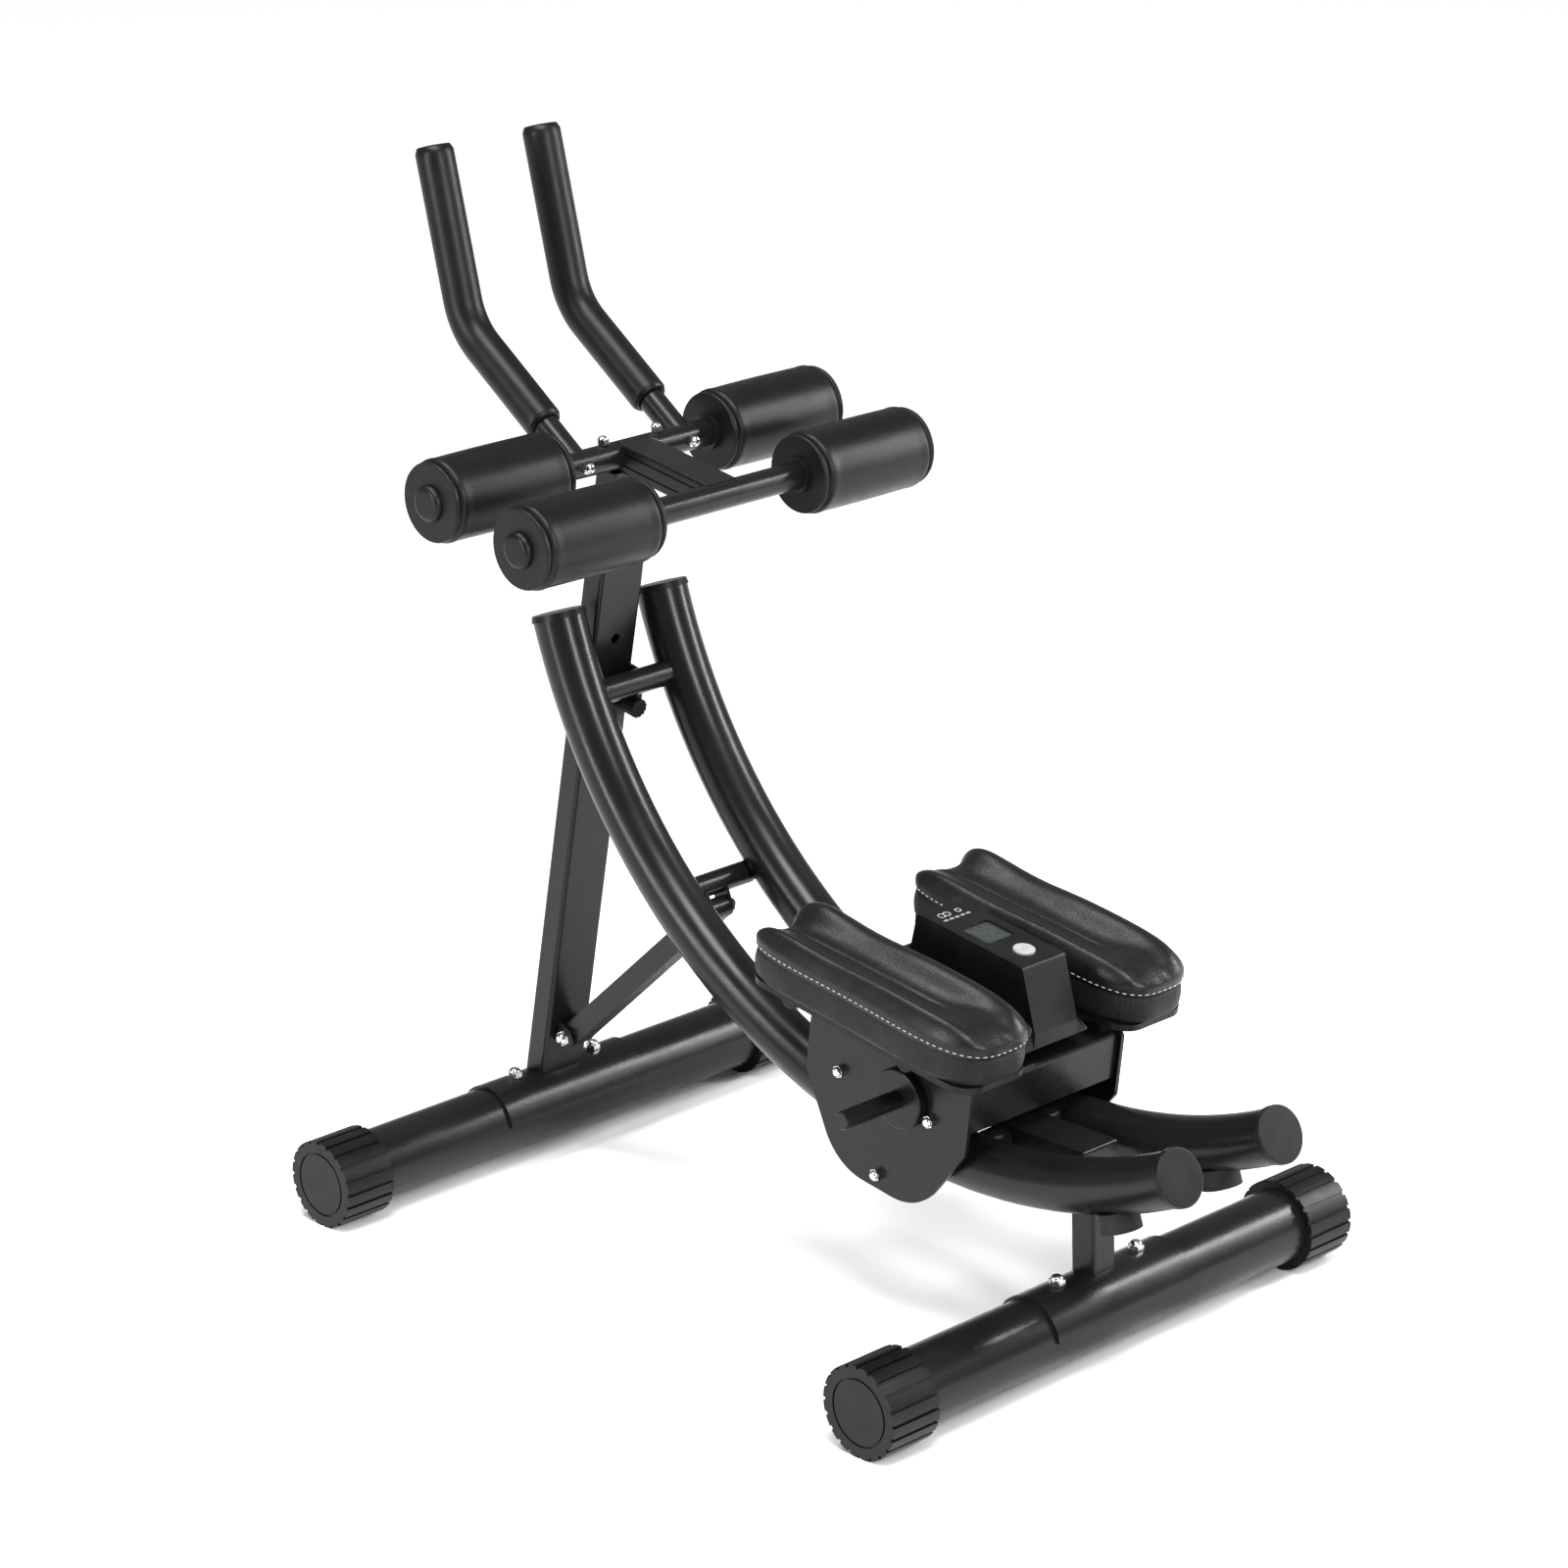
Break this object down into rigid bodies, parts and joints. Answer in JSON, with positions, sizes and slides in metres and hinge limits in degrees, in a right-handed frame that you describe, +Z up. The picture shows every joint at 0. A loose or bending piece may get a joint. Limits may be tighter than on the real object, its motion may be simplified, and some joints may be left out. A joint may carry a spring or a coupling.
{
  "type": "ab crunch machine",
  "caption": "Folding-frame ab crunch machine with a padded knee carriage rolling on two curved rails, ankle rollers, upright handles and weight pegs.",
  "frame": {"origin": "centre of the bounding box on the floor", "axes": "+Z up, -Y toward the low end of the rails, +Y toward the upright and handles, X across the machine"},
  "size_m": [0.592, 0.9473, 1.0013],
  "materials": {
    "frame_paint": "satin black powder coat on steel",
    "black_plastic": "moulded black plastic",
    "rubber": "moulded rubber",
    "foam": "smooth skinned foam",
    "pad_cover": "grained black synthetic leather with light stitching",
    "bright_steel": "bright plated steel",
    "light_plastic": "light grey button",
    "dark_window": "dark display window"
  },
  "bodies": {
    "rail_frame": {"rail_left": "frame_paint", "rail_right": "frame_paint", "rail_top_caps": "black_plastic", "rail_end_caps": "black_plastic", "stop_pads": "rubber", "low_spine": "frame_paint", "low_post": "frame_paint", "low_foot_tube": "frame_paint", "low_foot_cap_left": "black_plastic", "low_foot_cap_right": "black_plastic", "low_bolts": "bright_steel", "top_crossbar": "frame_paint", "mid_crossbar": "frame_paint", "brace_bolt_high": "bright_steel"},
    "knob": {"adjust_knob": "black_plastic"},
    "brace": {"brace_tube": "frame_paint"},
    "upright": {"post": "frame_paint", "post_sleeve": "frame_paint", "post_foot_tube": "frame_paint", "post_foot_cap_left": "black_plastic", "post_foot_cap_right": "black_plastic", "post_bolts": "bright_steel", "head_channel": "frame_paint", "rear_crossbar": "frame_paint", "front_crossbar": "frame_paint", "roller_plugs": "black_plastic", "head_bolts": "bright_steel", "handle_left": "frame_paint", "handle_right": "frame_paint", "grip_left": "foam", "grip_right": "foam", "brace_bolt_low": "bright_steel"},
    "carriage": {"side_plate_left": "frame_paint", "side_plate_right": "frame_paint", "carriage_box": "frame_paint", "turn_pin": "frame_paint", "weight_peg_left": "frame_paint", "weight_peg_right": "frame_paint", "axle_bolts": "bright_steel"},
    "front_wheels": {"wheels_front": "black_plastic"},
    "rear_wheels": {"wheels_rear": "black_plastic"},
    "low_wheels": {"wheels_low": "black_plastic"},
    "seat": {"seat_base": "frame_paint", "seat_crossbar_rear": "frame_paint", "seat_tube_caps": "black_plastic", "pad_board_left": "black_plastic", "pad_board_right": "black_plastic", "pad_left": "pad_cover", "pad_right": "pad_cover", "console_housing": "black_plastic", "console_window": "dark_window"},
    "button": {"start_button": "light_plastic"},
    "roller_rear_left": {"roller_core_rear_left": "black_plastic", "roller_foam_rear_left": "foam"},
    "roller_rear_right": {"roller_core_rear_right": "black_plastic", "roller_foam_rear_right": "foam"},
    "roller_front_left": {"roller_core_front_left": "black_plastic", "roller_foam_front_left": "foam"},
    "roller_front_right": {"roller_core_front_right": "black_plastic", "roller_foam_front_right": "foam"}
  },
  "joints": [
    {"name": "carriage_travel", "type": "hinge", "parent": "rail_frame", "child": "carriage", "pos_m": [0, -0.22405, 0.7314], "axis": [1, 0, 0], "range_deg": [-22, 40]},
    {"name": "front_wheel_turn", "type": "hinge", "parent": "carriage", "child": "front_wheels", "pos_m": [0, -0.20114, 0.21991], "axis": [1, 0, 0], "range_deg": [-1216, 671]},
    {"name": "rear_wheel_turn", "type": "hinge", "parent": "carriage", "child": "rear_wheels", "pos_m": [0, -0.0895, 0.23739], "axis": [1, 0, 0], "range_deg": [-1216, 671]},
    {"name": "low_wheel_turn", "type": "hinge", "parent": "carriage", "child": "low_wheels", "pos_m": [0, -0.13306, 0.15038], "axis": [1, 0, 0], "range_deg": [-1599.4, 2904]},
    {"name": "seat_swivel", "type": "hinge", "parent": "carriage", "child": "seat", "pos_m": [0, -0.12479, 0.29146], "axis": [0, -0.1547, 0.988], "range_deg": [-20, 20]},
    {"name": "button_press", "type": "slide", "parent": "seat", "child": "button", "axis": [0, 0.1547, -0.988], "range_m": [0, 0.0015], "stiffness_N_per_m": 300},
    {"name": "height_fold", "type": "hinge", "parent": "rail_frame", "child": "brace", "pos_m": [0, 0.17685, 0.2995], "axis": [1, 0, 0], "range_deg": [-20.4, 0]},
    {"name": "upright_pivot", "type": "hinge", "parent": "brace", "child": "upright", "pos_m": [0, 0.38535, 0.12], "axis": [1, 0, 0], "range_deg": [0, 9.3]},
    {"name": "knob_pull", "type": "slide", "parent": "rail_frame", "child": "knob", "axis": [0, -0.9755, -0.2198], "range_m": [0, 0.012], "stiffness_N_per_m": 900},
    {"name": "roller_rear_left_turn", "type": "hinge", "parent": "upright", "child": "roller_rear_left", "pos_m": [-0.169, 0.27195, 0.7247], "axis": [1, 0, 0], "continuous": true},
    {"name": "roller_rear_right_turn", "type": "hinge", "parent": "upright", "child": "roller_rear_right", "pos_m": [0.169, 0.27195, 0.7247], "axis": [1, 0, 0], "continuous": true},
    {"name": "roller_front_left_turn", "type": "hinge", "parent": "upright", "child": "roller_front_left", "pos_m": [-0.169, 0.15135, 0.7034], "axis": [1, 0, 0], "continuous": true},
    {"name": "roller_front_right_turn", "type": "hinge", "parent": "upright", "child": "roller_front_right", "pos_m": [0.169, 0.15135, 0.7034], "axis": [1, 0, 0], "continuous": true}
  ],
  "couplings": [
    {"joint": "front_wheel_turn", "follows": "carriage_travel", "ratio": -30.274},
    {"joint": "rear_wheel_turn", "follows": "carriage_travel", "ratio": -30.274},
    {"joint": "low_wheel_turn", "follows": "carriage_travel", "ratio": 72.475},
    {"joint": "upright_pivot", "follows": "height_fold", "ratio": -0.45}
  ]
}
